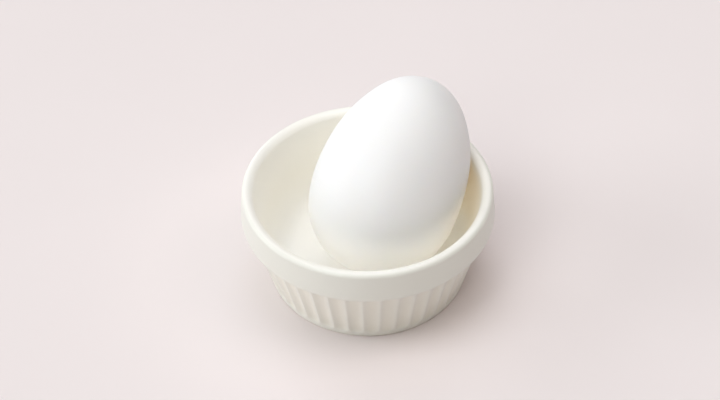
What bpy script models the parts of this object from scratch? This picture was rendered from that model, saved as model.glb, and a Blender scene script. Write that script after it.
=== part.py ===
"""A boiled egg leaning in a small fluted ramekin. Metres, +Z up.

The origin is where the dish's turning axis meets the table. The dish is one pottery body: a plain
collar stands out over a tapered body of upright hollow flutes, on a low foot ring. The egg lies on
the dish's floor with its blunt end down, tipped back against the rim.
"""

from math import atan2, cos, hypot, pi, radians, sin, sqrt, tan

import bpy
from mathutils import Matrix, Vector

# The rim: an almost fully rounded lip
RIM_HEIGHT = 0.0310
RIM_RADIUS = 0.0350
RIM_INNER_RADIUS = 0.0317
LIP_ROUND_OUT = 0.0012
LIP_ROUND_IN = 0.0020

# The collar under the rim, a little wider at its lower edge
COLLAR_FOOT_HEIGHT = 0.0220
COLLAR_FOOT_RADIUS = 0.0357
COLLAR_FOOT_ROUND = 0.0005

# The fluted body: the line that the ridges between the flutes follow
BODY_TOP_HEIGHT = 0.0212
BODY_TOP_RADIUS = 0.0337
BODY_FOOT_HEIGHT = 0.0005
BODY_FOOT_RADIUS = 0.0285
LEDGE_FILLET = 0.0006

# Flutes: hollows with sharp ridges between them and rounded ends
FLUTES = 43
FLUTE_DEPTH = 0.00065
FLUTE_TOP = 0.0206
FLUTE_FOOT = 0.0016
FLUTE_TOP_ARCH = 0.0022
FLUTE_FOOT_ARCH = 0.0020
FLUTE_END_ROWS = (0.0, 0.0006, 0.0013, 0.0024)
STEPS_A_FLUTE = 4
RIDGE_ANGLE = radians(6.97)

# Inside and underside
FLOOR_HEIGHT = 0.0037
FLOOR_CORNER_RADIUS = 0.0268
FLOOR_FILLET = 0.0062
FOOT_RADIUS = 0.0279
FOOT_RING_WIDTH = 0.0026
RECESS_DEPTH = 0.0010
RECESS_SLOPE = 0.0007

# Egg: its outline round its long axis, and how it lies
EGG_LENGTH = 0.0578
EGG_WIDTH = 0.0418
EGG_TAPER = -0.125
EGG_FULLNESS = 0.082
EGG_SIDES = 56
EGG_RINGS = 32
EGG_CENTRE = (0.00732, 0.00447, 0.03035)
EGG_LEAN = radians(47.1)
EGG_LEAN_HEADING = radians(57.5)

POTTERY_COLOUR = (0.80, 0.78, 0.72, 1.0)
POTTERY_ROUGHNESS = 0.2
EGG_COLOUR = (0.86, 0.85, 0.81, 1.0)
EGG_ROUGHNESS = 0.42

MERGE_WITHIN = 0.00001
ON_THE_LINE = 0.00002


def clear_scene():
    for thing in list(bpy.data.objects):
        bpy.data.objects.remove(thing, do_unlink=True)


def new_collection(name):
    collection = bpy.data.collections.new(name)
    bpy.context.scene.collection.children.link(collection)
    return collection


def principled(name, colour, roughness):
    material = bpy.data.materials.new(name)
    material.use_nodes = True
    shader = material.node_tree.nodes["Principled BSDF"]
    shader.inputs["Base Color"].default_value = colour
    shader.inputs["Roughness"].default_value = roughness
    shader.inputs["Metallic"].default_value = 0.0
    return material


def arc(centre, radius, start, end, count):
    """Points on a circle in the profile plane, both ends included, angles from +X in radians."""
    points = []
    for i in range(count):
        angle = start + (end - start) * i / (count - 1)
        points.append((centre[0] + radius * cos(angle), centre[1] + radius * sin(angle)))
    return points


def ridge_radius(height):
    """Radius of the ridges between the flutes at a height."""
    share = (height - BODY_FOOT_HEIGHT) / (BODY_TOP_HEIGHT - BODY_FOOT_HEIGHT)
    return BODY_FOOT_RADIUS + (BODY_TOP_RADIUS - BODY_FOOT_RADIUS) * share


def inside_points():
    """Floor, the curve up to the wall, and the wall up to the rounded lip."""
    lean = atan2(RIM_INNER_RADIUS - FLOOR_CORNER_RADIUS, RIM_HEIGHT - LIP_ROUND_IN - FLOOR_HEIGHT)
    reach = FLOOR_FILLET * tan((pi / 2 - lean) / 2)
    floor_centre = (FLOOR_CORNER_RADIUS - reach, FLOOR_HEIGHT + FLOOR_FILLET)
    lip_centre = (RIM_INNER_RADIUS + LIP_ROUND_IN, RIM_HEIGHT - LIP_ROUND_IN)
    points = [(0.0, FLOOR_HEIGHT)]
    points += arc(floor_centre, FLOOR_FILLET, -pi / 2, -lean, 5)
    points += arc(lip_centre, LIP_ROUND_IN, pi - lean, pi / 2, 4)
    return points


def collar_points():
    """The lip's outer side, the collar and its rounded lower edge, and the ledge in to the body."""
    lip_centre = (RIM_RADIUS - LIP_ROUND_OUT, RIM_HEIGHT - LIP_ROUND_OUT)
    edge_centre = (COLLAR_FOOT_RADIUS - COLLAR_FOOT_ROUND, COLLAR_FOOT_HEIGHT + COLLAR_FOOT_ROUND)
    points = arc(lip_centre, LIP_ROUND_OUT, pi / 2, 0.0, 4)
    points += arc(edge_centre, COLLAR_FOOT_ROUND, 0.0, -pi / 2, 3)
    points += [(BODY_TOP_RADIUS + LEDGE_FILLET, COLLAR_FOOT_HEIGHT)]
    return points


def body_heights():
    """Heights of the rows of points down the fluted body, closer where the flutes end."""
    heights = [BODY_TOP_HEIGHT]
    heights += [FLUTE_TOP - drop for drop in FLUTE_END_ROWS]
    heights += [FLUTE_FOOT + rise for rise in reversed(FLUTE_END_ROWS)]
    return heights


def underside_points():
    """The foot's rounded edge, the ring that it stands on, and the shallow recess inside it."""
    ring_inner = FOOT_RADIUS - FOOT_RING_WIDTH
    return [
        (BODY_FOOT_RADIUS, BODY_FOOT_HEIGHT),
        (FOOT_RADIUS, 0.0),
        (ring_inner, 0.0),
        (ring_inner - RECESS_SLOPE, RECESS_DEPTH),
        (0.0, RECESS_DEPTH),
    ]


def dish_profile():
    body = [(ridge_radius(height), height) for height in body_heights()]
    return inside_points() + collar_points() + body + underside_points()


def turned_mesh(name, profile, steps):
    """The closed body that the profile makes when it turns once round Z."""
    mesh = bpy.data.meshes.new(name + "_profile")
    edges = [(i, i + 1) for i in range(len(profile) - 1)]
    mesh.from_pydata([(radius, 0.0, height) for radius, height in profile], edges, [])
    guide = bpy.data.objects.new(name + "_profile", mesh)
    bpy.context.scene.collection.objects.link(guide)
    screw = guide.modifiers.new("turn", "SCREW")
    screw.axis = "Z"
    screw.angle = 2 * pi
    screw.steps = steps
    screw.render_steps = steps
    screw.use_merge_vertices = True
    screw.merge_threshold = MERGE_WITHIN
    depsgraph = bpy.context.evaluated_depsgraph_get()
    turned = bpy.data.meshes.new_from_object(guide.evaluated_get(depsgraph))
    turned.name = name
    bpy.data.objects.remove(guide, do_unlink=True)
    bpy.data.meshes.remove(mesh)
    return turned


def flute_cut(angle, height):
    """How far a flute goes in at this place: a hollow arc across, with rounded ends."""
    turn = angle * FLUTES / (2 * pi)
    across = 2 * (turn % 1.0) - 1
    over_top = max(0.0, height - (FLUTE_TOP - FLUTE_TOP_ARCH)) / FLUTE_TOP_ARCH
    under_foot = max(0.0, FLUTE_FOOT + FLUTE_FOOT_ARCH - height) / FLUTE_FOOT_ARCH
    left = 1.0 - across ** 2 - over_top ** 2 - under_foot ** 2
    return FLUTE_DEPTH * max(0.0, left)


def cut_flutes(mesh):
    """Moves the points of the body's outer skin in along the flutes."""
    for vertex in mesh.vertices:
        x, y, height = vertex.co
        radius = hypot(x, y)
        on_body = FLUTE_FOOT < height < FLUTE_TOP
        if on_body and abs(radius - ridge_radius(height)) < ON_THE_LINE:
            scale = 1.0 - flute_cut(atan2(y, x), height) / radius
            vertex.co.x = x * scale
            vertex.co.y = y * scale


def make_ramekin(collection):
    mesh = turned_mesh("ramekin", dish_profile(), FLUTES * STEPS_A_FLUTE)
    cut_flutes(mesh)
    mesh.shade_smooth()
    mesh.set_sharp_from_angle(angle=radians(30))
    mesh.materials.clear()
    mesh.materials.append(principled("glazed_pottery", POTTERY_COLOUR, POTTERY_ROUGHNESS))
    ramekin = bpy.data.objects.new("ramekin", mesh)
    ramekin.rotation_euler = (0.0, 0.0, RIDGE_ANGLE)
    collection.objects.link(ramekin)
    return ramekin


def egg_half_width(along):
    """Half width across the long axis, at -1 for the blunt end up to +1 for the narrow end."""
    fullness = 1.0 + EGG_TAPER * along + EGG_FULLNESS * along ** 2
    return EGG_WIDTH / 2 * fullness * sqrt(max(0.0, 1.0 - along ** 2))


def shape_egg(mesh):
    """Turns a sphere of radius 1 into the egg, its long axis on Z and its narrow end up."""
    for vertex in mesh.vertices:
        x, y, along = vertex.co
        ring = hypot(x, y)
        if ring > 0.0:
            scale = egg_half_width(along) / ring
            vertex.co.x = x * scale
            vertex.co.y = y * scale
        vertex.co.z = along * EGG_LENGTH / 2


def make_egg(collection):
    bpy.ops.mesh.primitive_uv_sphere_add(segments=EGG_SIDES, ring_count=EGG_RINGS, radius=1.0)
    egg = bpy.context.object
    egg.name = "egg"
    egg.data.name = "egg"
    for home in list(egg.users_collection):
        home.objects.unlink(egg)
    collection.objects.link(egg)
    shape_egg(egg.data)
    egg.data.shade_smooth()
    egg.data.materials.append(principled("egg_white", EGG_COLOUR, EGG_ROUGHNESS))
    lean = Matrix.Rotation(EGG_LEAN, 4, "Y")
    heading = Matrix.Rotation(EGG_LEAN_HEADING, 4, "Z")
    egg.matrix_world = Matrix.Translation(Vector(EGG_CENTRE)) @ heading @ lean
    return egg


def main():
    clear_scene()
    collection = new_collection("boiled_egg_in_ramekin")
    make_ramekin(collection)
    make_egg(collection)


main()
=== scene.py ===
"""A boiled egg leaning in a small fluted ramekin: the finish of both pieces, the light and the camera.

Metres, +Z up. The origin is where the dish's turning axis meets the table. The dish and the egg are
made again from the same driving sizes as the solids that they stand for, with the glaze's soft edges,
the unevenness of each surface and their procedural materials.
"""

from math import atan2, cos, hypot, pi, radians, sin, tan

import bpy
import numpy as np
from mathutils import Matrix, Vector
from mathutils.kdtree import KDTree


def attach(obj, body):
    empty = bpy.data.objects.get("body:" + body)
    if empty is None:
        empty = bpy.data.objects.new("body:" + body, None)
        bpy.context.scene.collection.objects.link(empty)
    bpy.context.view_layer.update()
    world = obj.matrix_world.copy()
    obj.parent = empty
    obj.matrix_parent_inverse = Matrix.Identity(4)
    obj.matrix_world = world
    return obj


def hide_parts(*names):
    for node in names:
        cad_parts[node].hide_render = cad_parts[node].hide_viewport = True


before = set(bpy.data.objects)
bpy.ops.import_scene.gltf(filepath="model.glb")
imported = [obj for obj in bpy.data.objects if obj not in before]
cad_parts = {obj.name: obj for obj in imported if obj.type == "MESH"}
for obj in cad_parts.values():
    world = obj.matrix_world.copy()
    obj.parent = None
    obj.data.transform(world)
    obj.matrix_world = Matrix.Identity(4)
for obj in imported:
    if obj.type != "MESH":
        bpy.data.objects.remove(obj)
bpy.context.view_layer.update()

# Dish: heights above the table and radii from the turning axis, as in the solid apart from the collar's
# lower edge, which is a little rounder
RIM_HEIGHT = 0.0310
RIM_RADIUS = 0.0350
RIM_INNER_RADIUS = 0.0317
LIP_ROUND_OUT = 0.0012
LIP_ROUND_IN = 0.0020
COLLAR_FOOT_HEIGHT = 0.0220
COLLAR_FOOT_RADIUS = 0.0357
COLLAR_FOOT_ROUND = 0.0006
BODY_TOP_HEIGHT = 0.0212
BODY_TOP_RADIUS = 0.0337
BODY_FOOT_HEIGHT = 0.0005
BODY_FOOT_RADIUS = 0.0285
LEDGE_FILLET = 0.0006
FLOOR_HEIGHT = 0.0037
FLOOR_CORNER_RADIUS = 0.0268
FLOOR_FILLET = 0.0062
FOOT_RADIUS = 0.0279
FOOT_RING_WIDTH = 0.0026
RECESS_DEPTH = 0.0010
RECESS_SLOPE = 0.0007

# The recess's edge: shares of its slope inwards and of its depth upwards
RECESS_EDGE = ((0.0, 0.0), (0.3, 0.25), (0.8, 0.8), (1.4, 1.0))

# Flutes, and how far the glaze rounds the ridges between them
FLUTES = 43
FLUTE_DEPTH = 0.00065
FLUTE_TOP = 0.0206
FLUTE_FOOT = 0.0016
FLUTE_TOP_ARCH = 0.0022
FLUTE_FOOT_ARCH = 0.0020
RIDGE_ANGLE = radians(6.97)
RIDGE_SOFTNESS = 0.14

# How many points each stretch of the dish's section has, from its floor over the rim to its underside,
# where the first row of the body lies under its top, and the steps round the dish for each flute
FLOOR_POINTS = 7
FLOOR_CURVE_POINTS = 12
WALL_POINTS = 9
LIP_POINTS = 9
COLLAR_POINTS = 7
COLLAR_EDGE_POINTS = 7
LEDGE_POINTS = 5
BODY_TOP_POINTS = 12
BODY_MIDDLE_POINTS = 10
BODY_LOW_POINTS = 10
FOOT_ROUND_POINTS = 6
RING_POINTS = 2
RECESS_POINTS = 5
BODY_UNDER_TOP = 0.0003
STEPS_A_FLUTE = 14

# Unevenness of the cast dish, inwards from its true radius, and its waves: the share that is half of a
# wave's height, how often it goes round, where it starts in radians, and its radians a metre of height
DISH_WAVER = 0.00006
DISH_WAVES = ((0.5, 2, 0.7, 0.0), (0.25, 3, 2.1, 90.0))

# Egg: its outline round its long axis, and how it lies, a hair lower than the solid so that its finer skin
# stays within the solid's height
EGG_LENGTH = 0.0578
EGG_WIDTH = 0.0418
EGG_TAPER = -0.125
EGG_FULLNESS = 0.082
EGG_CENTRE = (0.00732, 0.00447, 0.03032)
EGG_LEAN = radians(47.1)
EGG_LEAN_HEADING = radians(57.5)
EGG_SIDES = 288
EGG_RINGS = 180

# Slight unevenness of the egg: degrees from its narrow end, degrees round it, how far it stands out, and
# how many degrees wide it is along and round the egg
EGG_SWELLS = (
    (49, 116, -0.00015, 8, 26),
    (70, 115, 0.00012, 13, 28),
    (133, 116, 0.00010, 8, 26),
    (147, 118, -0.00018, 8, 26),
    (42, 287, -0.00012, 7, 24),
    (65, 289, 0.00012, 10, 26),
    (93, 289, -0.00018, 10, 28),
    (115, 289, 0.00012, 9, 24),
)

# Glaze: its tone inside and where it pools in the flutes; a darker copy outside, which is painted shade; a
# whiter inner floor, which is painted light; a warm painted shade beside the egg; then how much of the
# pooled tone the flutes and the faint clouds take, and its satin surface
GLAZE_COLOUR = (0.966, 0.950, 0.892, 1.0)
GLAZE_POOLED = (0.958, 0.930, 0.822, 1.0)
# Painted shade: the same glaze, darker outside than inside
GLAZE_OUTSIDE_PAINTED_SHADE = (0.915, 0.913, 0.843, 1.0)
# Painted light: the inner floor whiter than the walls, as where light falls on it
GLAZE_FLOOR_PAINTED_LIGHT = (0.974, 0.970, 0.956, 1.0)
# Painted shade: a warm shade on the inner wall close to the egg
GLAZE_PAINTED_WARM_SHADE = (0.950, 0.830, 0.64, 1.0)
POOLED_SHARE = 0.7
CLOUD_TINT = 0.15
GLAZE_ROUGHNESS = (0.29, 0.36)
GLAZE_IOR = 1.5
GLAZE_CLOUD_SCALE = 70.0
GLAZE_WAVE_SCALE = 110.0
GLAZE_WAVE_HEIGHT = 0.00012

# Where the inside ends, how near the egg and between which heights the warm painted shade lies, and the
# heights between which the painted light on the inner floor fades out
WALL_REACH = 0.0004
PAINTED_SHADE_WITHIN = 0.008
PAINTED_SHADE_FROM = 0.008
PAINTED_SHADE_UP_TO = 0.016
PAINTED_SHADE_FADES = 0.0265
PAINTED_SHADE_ENDS = 0.0300
FLOOR_PAINTED_LIGHT_FROM = 0.016
FLOOR_PAINTED_LIGHT_FULL = 0.005

# The unglazed foot ring
BARE_CLAY = (0.80, 0.75, 0.66, 1.0)
BARE_ROUGHNESS = 0.85
BARE_BELOW = 0.0003
BARE_FULL = 0.0001

# Egg: two whites that blend in faint clouds, a satin surface with a fine grain, and a little light inside
EGG_WHITE = (0.983, 0.979, 0.975, 1.0)
EGG_WARM = (0.980, 0.973, 0.964, 1.0)
EGG_ROUGHNESS = (0.38, 0.48)
EGG_IOR = 1.38
EGG_TONE_SPAN = (0.35, 0.65)
EGG_CLOUD_SCALE = 60.0
EGG_GRAIN_SCALE = 900.0
EGG_GRAIN_HEIGHT = 0.00005
EGG_SUBSURFACE = 0.15
EGG_SUBSURFACE_RADIUS = (1.0, 0.8, 0.6)
EGG_SUBSURFACE_SCALE = 0.0015

# What the glaze and the egg share: the clouds' detail, the span of values that they use, and their bumps
CLOUD_DETAIL = 3.0
CLOUD_SPAN = (0.3, 0.7)
BUMP_STRENGTH = 0.4

# The plain floor, a hair under the foot ring so that the two faces don't coincide
FLOOR_REACH = 3.0
FLOOR_LEVEL = -0.00002
FLOOR_COLOUR = (0.840, 0.770, 0.763, 1.0)
FLOOR_COLOUR_TWO = (0.863, 0.793, 0.786, 1.0)
FLOOR_CLOUD_SCALE = 12.0
FLOOR_CLOUD_DETAIL = 2.0
FLOOR_ROUGHNESS = 0.85
FLOOR_SPECULAR = 0.2

# Soft lights: where each stands (degrees from +X towards +Y, degrees up), its power and its colour
LIGHT_DISTANCE = 8.0
LIGHT_SIZE = 4.4
LIGHT_AIM_HEIGHT = 0.02
SOFT_LIGHTS = (
    ("left_low", 180, 20, 201.0, (0.94, 0.965, 1.0)),
    ("left_high", 205, 60, 169.0, (0.945, 0.98, 1.0)),
    ("right_high", 0, 60, 139.0, (1.0, 0.91, 0.87)),
    ("overhead", 0, 90, 157.0, (0.985, 0.99, 1.0)),
    ("back_left_low", 120, 20, 141.0, (0.94, 0.967, 1.0)),
    ("front_left", 240, 40, 107.0, (0.985, 1.0, 0.95)),
    ("back_high", 90, 60, 93.0, (0.90, 0.93, 1.0)),
)

# The room's weak light, the backdrop that low views see, and how often light bounces inside the dish
ROOM_COLOUR = (1.0, 0.97, 0.78, 1.0)
ROOM_STRENGTH = 0.035
BACKDROP_COLOUR = (0.82, 0.77, 0.76, 1.0)
LIGHT_BOUNCES = 24

# Camera, in the photograph's frame of 720 by 400 pixels
PHOTO_WIDTH = 720
FOCAL_PIXELS = 1400
SENSOR_WIDTH = 36.0
CAMERA_ELEVATION = radians(43.64)
CAMERA_ROLL = radians(-1.31)
CAMERA_DISTANCE = 0.39194
CAMERA_TARGET = (-0.0021, 0.0, 0.02535)


def arc(centre, radius, start, end, count):
    """Points on a circle in the profile plane, both ends included, angles from +X in radians."""
    angles = np.linspace(start, end, count)
    return [(centre[0] + radius * cos(a), centre[1] + radius * sin(a)) for a in angles]


def run(start, end, count):
    """Points between two points of the profile, both ends left out."""
    shares = np.linspace(0.0, 1.0, count + 2)[1:-1]
    return [tuple(np.array(start) * (1 - s) + np.array(end) * s) for s in shares]


def ridge_radius(height):
    """Radius of the ridges between the flutes at a height."""
    share = (height - BODY_FOOT_HEIGHT) / (BODY_TOP_HEIGHT - BODY_FOOT_HEIGHT)
    return BODY_FOOT_RADIUS + (BODY_TOP_RADIUS - BODY_FOOT_RADIUS) * share


def inside_profile():
    """The floor, the curve up to the wall, the wall, and the inner side of the lip."""
    lean = atan2(RIM_INNER_RADIUS - FLOOR_CORNER_RADIUS, RIM_HEIGHT - LIP_ROUND_IN - FLOOR_HEIGHT)
    reach = FLOOR_FILLET * tan((pi / 2 - lean) / 2)
    curve_centre = (FLOOR_CORNER_RADIUS - reach, FLOOR_HEIGHT + FLOOR_FILLET)
    curve = arc(curve_centre, FLOOR_FILLET, -pi / 2, -lean, FLOOR_CURVE_POINTS)
    lip_centre = (RIM_INNER_RADIUS + LIP_ROUND_IN, RIM_HEIGHT - LIP_ROUND_IN)
    lip = arc(lip_centre, LIP_ROUND_IN, pi - lean, pi / 2, LIP_POINTS)
    middle = (0.0, FLOOR_HEIGHT)
    floor = [middle] + run(middle, curve[0], FLOOR_POINTS)
    return floor + curve + run(curve[-1], lip[0], WALL_POINTS) + lip


def collar_profile():
    """The outer side of the lip, the collar, its rounded lower edge, and the ledge in to the body."""
    lip_centre = (RIM_RADIUS - LIP_ROUND_OUT, RIM_HEIGHT - LIP_ROUND_OUT)
    lip = arc(lip_centre, LIP_ROUND_OUT, pi / 2, 0.0, LIP_POINTS)
    edge_centre = (COLLAR_FOOT_RADIUS - COLLAR_FOOT_ROUND, COLLAR_FOOT_HEIGHT + COLLAR_FOOT_ROUND)
    edge = arc(edge_centre, COLLAR_FOOT_ROUND, 0.0, -pi / 2, COLLAR_EDGE_POINTS)
    ledge_foot = COLLAR_FOOT_HEIGHT - LEDGE_FILLET
    ledge_centre = (ridge_radius(ledge_foot) + LEDGE_FILLET, ledge_foot)
    ledge = arc(ledge_centre, LEDGE_FILLET, pi / 2, pi, LEDGE_POINTS)
    return lip + run(lip[-1], edge[0], COLLAR_POINTS) + edge + ledge


def body_profile():
    """The line of the ridges down the fluted body, its points closer where the flutes end."""
    top_arch = FLUTE_TOP - FLUTE_TOP_ARCH
    foot_arch = FLUTE_FOOT + FLUTE_FOOT_ARCH
    heights = np.concatenate([
        np.linspace(BODY_TOP_HEIGHT - BODY_UNDER_TOP, top_arch, BODY_TOP_POINTS),
        np.linspace(top_arch, foot_arch, BODY_MIDDLE_POINTS)[1:-1],
        np.linspace(foot_arch, FLUTE_FOOT, BODY_LOW_POINTS),
    ])
    return [(ridge_radius(h), float(h)) for h in heights]


def underside_profile():
    """The rounded edge of the foot, the ring that it stands on, and the shallow recess inside it."""
    rounding = BODY_FOOT_RADIUS - FOOT_RADIUS
    edge = arc((FOOT_RADIUS, rounding), rounding, 0.0, -pi / 2, FOOT_ROUND_POINTS)
    ring_inner = FOOT_RADIUS - FOOT_RING_WIDTH
    recess = [(ring_inner - RECESS_SLOPE * inwards, RECESS_DEPTH * up) for inwards, up in RECESS_EDGE]
    middle = (0.0, RECESS_DEPTH)
    ring = run(edge[-1], recess[0], RING_POINTS)
    return edge + ring + recess + run(recess[-1], middle, RECESS_POINTS) + [middle]


def flute_share(angle, height):
    """How deep a flute is at this place, from 0 on a ridge to 1 along its middle, ends rounded."""
    turn = (angle - RIDGE_ANGLE) * FLUTES / (2 * pi)
    across = 2 * (turn % 1.0) - 1
    across = np.sqrt(across ** 2 + RIDGE_SOFTNESS ** 2) / np.sqrt(1 + RIDGE_SOFTNESS ** 2)
    over_top = np.maximum(0.0, height - (FLUTE_TOP - FLUTE_TOP_ARCH)) / FLUTE_TOP_ARCH
    under_foot = np.maximum(0.0, FLUTE_FOOT + FLUTE_FOOT_ARCH - height) / FLUTE_FOOT_ARCH
    left = 1.0 - across ** 2 - over_top ** 2 - under_foot ** 2
    soft = 0.5 * (left + np.sqrt(left ** 2 + RIDGE_SOFTNESS ** 2))
    return np.clip(soft - RIDGE_SOFTNESS / 2, 0.0, 1.0)


def dish_waver(angle, height):
    """The cast dish's slight unevenness, which only ever goes inwards."""
    return sum(
        share * (1 + np.sin(times * angle + start + height * twist))
        for share, times, start, twist in DISH_WAVES
    )


def grid_faces(rows, columns, first):
    """Quads between rings of points, each ring closed."""
    i, j = np.meshgrid(np.arange(rows - 1), np.arange(columns), indexing="ij")
    after = (j + 1) % columns
    a = first + i * columns + j
    b = first + (i + 1) * columns + j
    c = first + (i + 1) * columns + after
    d = first + i * columns + after
    return np.stack([a, b, c, d], -1).reshape(-1, 4).tolist()


def mesh_object(name, points, faces):
    mesh = bpy.data.meshes.new(name)
    mesh.from_pydata([tuple(p) for p in points], [], faces)
    mesh.validate()
    mesh.shade_smooth()
    thing = bpy.data.objects.new(name, mesh)
    bpy.context.scene.collection.objects.link(thing)
    return thing


def closed_object(name, start, rings, end):
    """A closed skin on the Z axis: a point, rings of as many points each, and a point again."""
    rows, columns = rings.shape[:2]
    points = np.vstack([[0, 0, start], rings.reshape(-1, 3), [0, 0, end]])
    faces = grid_faces(rows, columns, 1)
    last = len(points) - 1
    for j in range(columns):
        after = (j + 1) % columns
        faces.append([0, 1 + j, 1 + after])
        faces.append([last, last - columns + after, last - columns + j])
    return mesh_object(name, points, faces)


def point_values(thing, name, values):
    """Stores one number for each point of a mesh, for its material to read."""
    attribute = thing.data.attributes.new(name, "FLOAT", "POINT")
    attribute.data.foreach_set("value", np.asarray(values, np.float32).ravel())


def make_dish():
    """The section turned once round Z, with the flutes and the unevenness taken off its radius."""
    above_body = inside_profile() + collar_profile()
    body = body_profile()
    profile = np.array(above_body + body + underside_profile())
    columns = FLUTES * STEPS_A_FLUTE
    angles = np.arange(columns) * 2 * pi / columns
    turned = profile[1:-1]
    radius = np.repeat(turned[:, :1], columns, 1)
    height = np.repeat(turned[:, 1:], columns, 1)
    angle = np.repeat(angles[None, :], len(turned), 0)
    on_body = np.zeros(len(turned), bool)
    first_body = len(above_body) - 1
    on_body[first_body:first_body + len(body)] = True
    depth = np.where(on_body[:, None], flute_share(angle, height), 0.0)
    waver = DISH_WAVER * dish_waver(angle, height)
    radius = radius - FLUTE_DEPTH * depth - waver * (radius / RIM_RADIUS)
    rings = np.stack([radius * np.cos(angle), radius * np.sin(angle), height], -1)
    dish = closed_object("ramekin_glazed", profile[0, 1], rings, profile[-1, 1])
    point_values(dish, "flute", np.concatenate([[0], depth.ravel(), [0]]))
    return dish


def egg_swells(polar, turn):
    """How far the egg's skin stands out at a place, from its few gentle swells and hollows."""
    out = 0.0 * polar * turn
    for at_polar, at_turn, height, along, across in EGG_SWELLS:
        away = (turn - radians(at_turn) + pi) % (2 * pi) - pi
        near = ((polar - radians(at_polar)) / radians(along)) ** 2 + (away / radians(across)) ** 2
        out = out + height * np.exp(-near / 2)
    return out


def make_egg():
    """The egg round its long axis, narrow end up, then leaned over and set down in the dish."""
    polar = np.linspace(0, pi, EGG_RINGS + 1)[1:-1, None]
    turn = (np.arange(EGG_SIDES) * 2 * pi / EGG_SIDES)[None, :]
    along = np.cos(polar)
    width = EGG_WIDTH / 2 * np.sin(polar) * (1 + EGG_TAPER * along + EGG_FULLNESS * along ** 2)
    width = width + egg_swells(polar, turn) * np.sin(polar)
    height = EGG_LENGTH / 2 * along + 0 * turn
    rings = np.stack([width * np.cos(turn), width * np.sin(turn), height], -1)
    egg = closed_object("egg_boiled", EGG_LENGTH / 2, rings, -EGG_LENGTH / 2)
    lean = Matrix.Rotation(EGG_LEAN, 4, "Y")
    heading = Matrix.Rotation(EGG_LEAN_HEADING, 4, "Z")
    egg.data.transform(Matrix.Translation(Vector(EGG_CENTRE)) @ heading @ lean)
    return egg


def share_between(value, none_at, full_at):
    """0 at one value and 1 at the other, straight between them and level past them."""
    return min(1.0, max(0.0, (value - none_at) / (full_at - none_at)))


def is_inside(radius, height):
    """Whether a point of the dish lies on its floor, its inner wall or the inner part of its lip."""
    wall_share = (height - FLOOR_HEIGHT) / (RIM_HEIGHT - FLOOR_HEIGHT)
    top_radius = RIM_INNER_RADIUS + LIP_ROUND_IN
    wall_radius = FLOOR_CORNER_RADIUS + (top_radius - FLOOR_CORNER_RADIUS) * wall_share
    return height >= FLOOR_HEIGHT and radius < wall_radius + WALL_REACH


def mark_painted_light_and_shade(dish, egg):
    """Stores where the glaze's colour carries painted light and shade: a darker outside, a whiter inner
    floor, and a warm shade close to the egg.
    """
    egg_points = KDTree(len(egg.data.vertices))
    for vertex in egg.data.vertices:
        egg_points.insert(vertex.co, vertex.index)
    egg_points.balance()
    outside, floor_painted_light, narrow = [], [], []
    for vertex in dish.data.vertices:
        x, y, height = vertex.co
        inside = 1.0 if is_inside(hypot(x, y), height) else 0.0
        away = egg_points.find(vertex.co)[2]
        beside_egg = share_between(away, PAINTED_SHADE_WITHIN, 0.0)
        up_the_wall = share_between(height, PAINTED_SHADE_FROM, PAINTED_SHADE_UP_TO)
        under_lip = share_between(height, PAINTED_SHADE_ENDS, PAINTED_SHADE_FADES)
        # Painted shade: the outside marked for its darker glaze
        outside.append(1.0 - inside)
        # Painted light: the inner floor marked for its whiter glaze
        floor_painted_light.append(inside * share_between(height, FLOOR_PAINTED_LIGHT_FROM, FLOOR_PAINTED_LIGHT_FULL))
        # Painted shade: the warm shade close to the egg, up the wall and under the lip
        narrow.append(inside * beside_egg * up_the_wall * under_lip)
    point_values(dish, "outside", outside)
    point_values(dish, "floor_painted_light", floor_painted_light)
    point_values(dish, "narrow", narrow)


def new_material(name):
    material = bpy.data.materials.new(name)
    material.use_nodes = True
    nodes = material.node_tree.nodes
    return material, nodes, material.node_tree.links, nodes["Principled BSDF"]


def point_share(nodes, name):
    """The number that each point of the mesh keeps under this name."""
    node = nodes.new("ShaderNodeAttribute")
    node.attribute_name = name
    return node.outputs["Fac"]


def noise(nodes, links, coordinates, scale, detail):
    node = nodes.new("ShaderNodeTexNoise")
    node.inputs["Scale"].default_value = scale
    node.inputs["Detail"].default_value = detail
    links.new(coordinates, node.inputs["Vector"])
    return node.outputs["Fac"]


def map_value(nodes, links, value, span, to_span):
    """Takes the values of one span to those of another."""
    node = nodes.new("ShaderNodeMapRange")
    node.inputs["From Min"].default_value, node.inputs["From Max"].default_value = span
    node.inputs["To Min"].default_value, node.inputs["To Max"].default_value = to_span
    links.new(value, node.inputs["Value"])
    return node.outputs["Result"]


def mix_colour(nodes, links, share, first, second):
    """first and second are colours or sockets."""
    node = nodes.new("ShaderNodeMix")
    node.data_type = "RGBA"
    links.new(share, node.inputs["Factor"])
    for socket, value in ((node.inputs[6], first), (node.inputs[7], second)):
        if isinstance(value, tuple):
            socket.default_value = value
        else:
            links.new(value, socket)
    return node.outputs[2]


def mix_value(nodes, links, share, first, second):
    """first is a socket and second a number."""
    node = nodes.new("ShaderNodeMix")
    links.new(share, node.inputs[0])
    links.new(first, node.inputs[2])
    node.inputs[3].default_value = second
    return node.outputs[0]


def bump(nodes, links, height, distance):
    node = nodes.new("ShaderNodeBump")
    node.inputs["Distance"].default_value = distance
    node.inputs["Strength"].default_value = BUMP_STRENGTH
    links.new(height, node.inputs["Height"])
    return node.outputs["Normal"]


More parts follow.
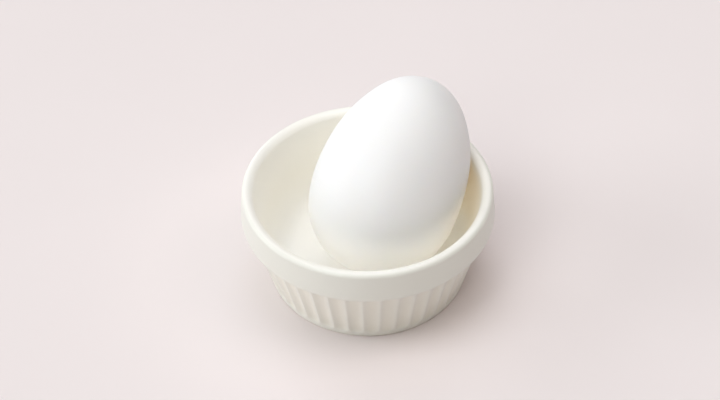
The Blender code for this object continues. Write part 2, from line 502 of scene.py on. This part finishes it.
def glaze_colour(nodes, links, cloud):
    """The glaze's tone at each place, with its painted light and shade, before the bare foot ring."""
    # Painted shade: the outside darker
    colour = mix_colour(nodes, links, point_share(nodes, "outside"), GLAZE_COLOUR, GLAZE_OUTSIDE_PAINTED_SHADE)
    # Painted light: the inner floor whiter
    colour = mix_colour(nodes, links, point_share(nodes, "floor_painted_light"), colour, GLAZE_FLOOR_PAINTED_LIGHT)
    pooled = map_value(nodes, links, point_share(nodes, "flute"), (0.0, 1.0), (0.0, POOLED_SHARE))
    colour = mix_colour(nodes, links, pooled, colour, GLAZE_POOLED)
    tinted = map_value(nodes, links, cloud, CLOUD_SPAN, (0.0, CLOUD_TINT))
    colour = mix_colour(nodes, links, tinted, colour, GLAZE_POOLED)
    # Painted shade: warm beside the egg
    return mix_colour(nodes, links, point_share(nodes, "narrow"), colour, GLAZE_PAINTED_WARM_SHADE)


def glaze_material():
    material, nodes, links, shader = new_material("glazed_pottery")
    place = nodes.new("ShaderNodeTexCoord").outputs["Object"]
    apart = nodes.new("ShaderNodeSeparateXYZ")
    links.new(place, apart.inputs["Vector"])
    bare = map_value(nodes, links, apart.outputs["Z"], (BARE_BELOW, BARE_FULL), (0.0, 1.0))
    cloud = noise(nodes, links, place, GLAZE_CLOUD_SCALE, CLOUD_DETAIL)
    colour = mix_colour(nodes, links, bare, glaze_colour(nodes, links, cloud), BARE_CLAY)
    links.new(colour, shader.inputs["Base Color"])
    satin = map_value(nodes, links, cloud, CLOUD_SPAN, GLAZE_ROUGHNESS)
    links.new(mix_value(nodes, links, bare, satin, BARE_ROUGHNESS), shader.inputs["Roughness"])
    waves = noise(nodes, links, place, GLAZE_WAVE_SCALE, 0.0)
    links.new(bump(nodes, links, waves, GLAZE_WAVE_HEIGHT), shader.inputs["Normal"])
    shader.inputs["IOR"].default_value = GLAZE_IOR
    return material


def egg_material():
    material, nodes, links, shader = new_material("egg_white")
    place = nodes.new("ShaderNodeTexCoord").outputs["Object"]
    cloud = noise(nodes, links, place, EGG_CLOUD_SCALE, CLOUD_DETAIL)
    tone = map_value(nodes, links, cloud, EGG_TONE_SPAN, (0.0, 1.0))
    links.new(mix_colour(nodes, links, tone, EGG_WHITE, EGG_WARM), shader.inputs["Base Color"])
    links.new(map_value(nodes, links, cloud, CLOUD_SPAN, EGG_ROUGHNESS), shader.inputs["Roughness"])
    grain = noise(nodes, links, place, EGG_GRAIN_SCALE, CLOUD_DETAIL)
    links.new(bump(nodes, links, grain, EGG_GRAIN_HEIGHT), shader.inputs["Normal"])
    shader.inputs["Subsurface Weight"].default_value = EGG_SUBSURFACE
    shader.inputs["Subsurface Radius"].default_value = EGG_SUBSURFACE_RADIUS
    shader.inputs["Subsurface Scale"].default_value = EGG_SUBSURFACE_SCALE
    shader.inputs["IOR"].default_value = EGG_IOR
    return material


def make_floor():
    corners = ((-1, -1), (1, -1), (1, 1), (-1, 1))
    points = [(FLOOR_REACH * x, FLOOR_REACH * y, FLOOR_LEVEL) for x, y in corners]
    floor = mesh_object("floor", points, [(0, 1, 2, 3)])
    material, nodes, links, shader = new_material("floor_pale")
    place = nodes.new("ShaderNodeTexCoord").outputs["Object"]
    cloud = noise(nodes, links, place, FLOOR_CLOUD_SCALE, FLOOR_CLOUD_DETAIL)
    colour = mix_colour(nodes, links, cloud, FLOOR_COLOUR, FLOOR_COLOUR_TWO)
    links.new(colour, shader.inputs["Base Color"])
    shader.inputs["Roughness"].default_value = FLOOR_ROUGHNESS
    shader.inputs["Specular IOR Level"].default_value = FLOOR_SPECULAR
    floor.data.materials.append(material)


def area_light(name, azimuth, elevation, power, colour):
    """A square soft light that looks at the dish's middle; azimuth is from +X towards +Y."""
    light = bpy.data.lights.new(name, "AREA")
    light.size = LIGHT_SIZE
    light.energy = power
    light.color = colour
    lamp = bpy.data.objects.new(name, light)
    a, e = radians(azimuth), radians(elevation)
    away = Vector((cos(e) * cos(a), cos(e) * sin(a), sin(e)))
    lamp.location = away * LIGHT_DISTANCE + Vector((0, 0, LIGHT_AIM_HEIGHT))
    lamp.rotation_mode = "QUATERNION"
    lamp.rotation_quaternion = away.to_track_quat("Z", "Y")
    bpy.context.scene.collection.objects.link(lamp)


def make_world():
    """A weak light from the whole room, which the camera sees as a plain pale backdrop."""
    world = bpy.data.worlds.new("studio")
    world.use_nodes = True
    nodes, links = world.node_tree.nodes, world.node_tree.links
    room = nodes["Background"]
    room.inputs["Color"].default_value = ROOM_COLOUR
    room.inputs["Strength"].default_value = ROOM_STRENGTH
    backdrop = nodes.new("ShaderNodeBackground")
    backdrop.inputs["Color"].default_value = BACKDROP_COLOUR
    seen = nodes.new("ShaderNodeMixShader")
    links.new(nodes.new("ShaderNodeLightPath").outputs["Is Camera Ray"], seen.inputs[0])
    links.new(room.outputs["Background"], seen.inputs[1])
    links.new(backdrop.outputs["Background"], seen.inputs[2])
    links.new(seen.outputs["Shader"], nodes["World Output"].inputs["Surface"])
    bpy.context.scene.world = world


def make_lights():
    for name, azimuth, elevation, power, colour in SOFT_LIGHTS:
        area_light(name, azimuth, elevation, power, colour)
    make_world()
    scene = bpy.context.scene
    scene.view_settings.view_transform = "Standard"
    scene.cycles.max_bounces = LIGHT_BOUNCES
    scene.cycles.diffuse_bounces = LIGHT_BOUNCES


def make_camera():
    """A camera that looks at the target from the photograph's elevation, turned by its roll."""
    data = bpy.data.cameras.new("camera")
    data.sensor_width = SENSOR_WIDTH
    data.lens = FOCAL_PIXELS / PHOTO_WIDTH * SENSOR_WIDTH
    camera = bpy.data.objects.new("camera", data)
    back = Vector((0.0, -cos(CAMERA_ELEVATION), sin(CAMERA_ELEVATION)))
    place = Matrix.Translation(Vector(CAMERA_TARGET) + back * CAMERA_DISTANCE)
    tilt = Matrix.Rotation(pi / 2 - CAMERA_ELEVATION, 4, "X")
    roll = Matrix.Rotation(CAMERA_ROLL, 4, "Z")
    camera.matrix_world = place @ tilt @ roll
    bpy.context.scene.collection.objects.link(camera)
    bpy.context.scene.camera = camera


dish = make_dish()
dish.data.materials.append(glaze_material())
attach(dish, "root")
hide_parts("ramekin")

egg = make_egg()
egg.data.materials.append(egg_material())
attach(egg, "root")
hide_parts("egg")
mark_painted_light_and_shade(dish, egg)

make_floor()
make_lights()
make_camera()
